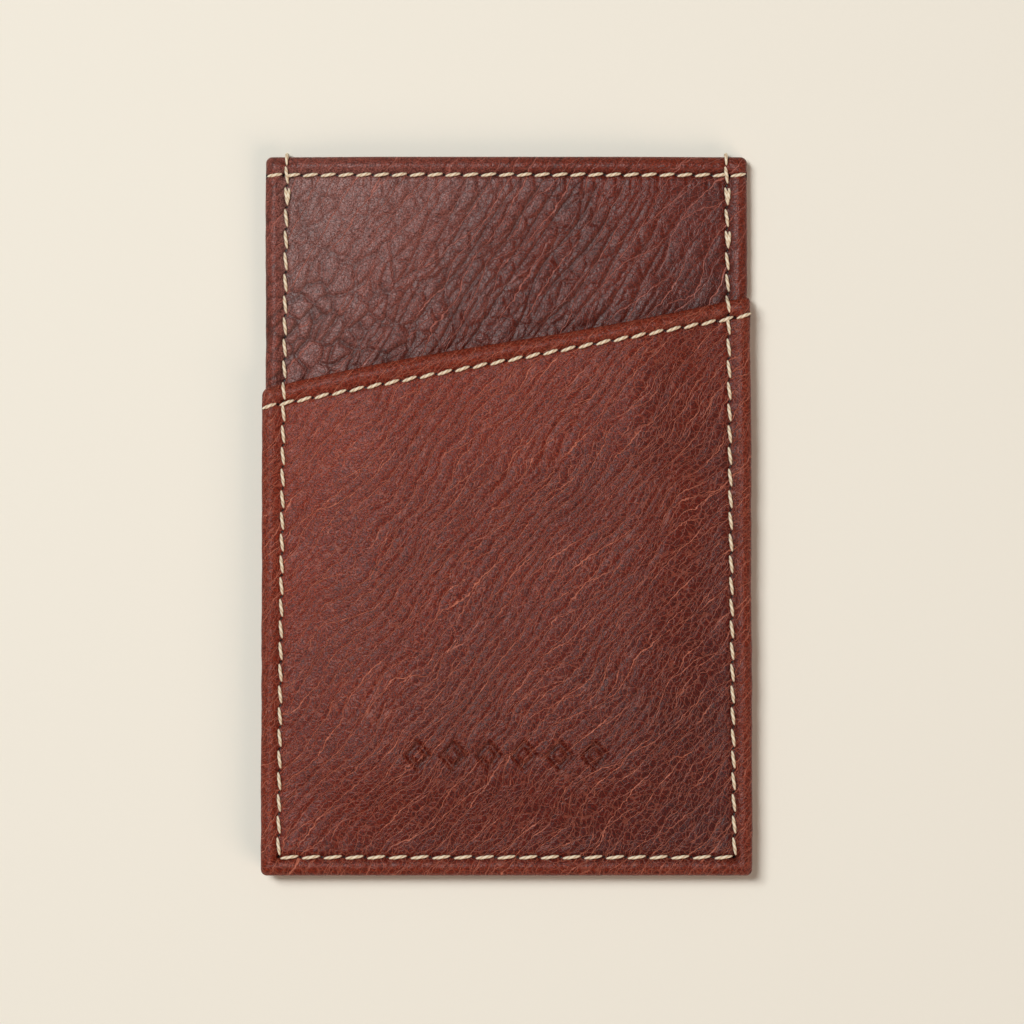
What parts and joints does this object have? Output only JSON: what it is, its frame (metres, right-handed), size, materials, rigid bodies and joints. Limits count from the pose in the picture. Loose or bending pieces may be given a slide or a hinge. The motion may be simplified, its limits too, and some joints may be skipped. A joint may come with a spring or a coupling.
{
  "type": "minimalist wallet",
  "caption": "Slim upright leather card sleeve with turned stitched edges, an open top and a front pocket whose mouth slants up to the right.",
  "frame": {"origin": "under the middle of the wallet, in the plane of its back, with the wallet lying on its back", "axes": "+X to the wallet's right, +Y towards its open top, +Z out of its front"},
  "size_m": [0.0696, 0.1018, 0.0065],
  "materials": {
    "panel_leather": "pebbled, satin",
    "divider_leather": "coarsely wrinkled, satin",
    "pocket_leather": "finely wrinkled, satin",
    "lining": "fine plain weave",
    "edge_tape": "non-woven tape",
    "thread": "twisted, lightly waxed"
  },
  "bodies": {
    "root": {"back_panel": "panel_leather", "divider_panel": "divider_leather", "front_pocket": "pocket_leather", "back_lining": "lining", "divider_lining": "lining", "pocket_lining": "lining", "back_edge_tape": "edge_tape", "divider_edge_tape": "edge_tape", "pocket_edge_tape": "edge_tape", "perimeter_needle_thread": "thread", "perimeter_bobbin_thread": "thread", "divider_hem_needle_thread": "thread", "divider_hem_bobbin_thread": "thread", "pocket_hem_needle_thread": "thread", "pocket_hem_bobbin_thread": "thread", "back_hem_needle_thread": "thread", "back_hem_bobbin_thread": "thread"}
  },
  "joints": []
}
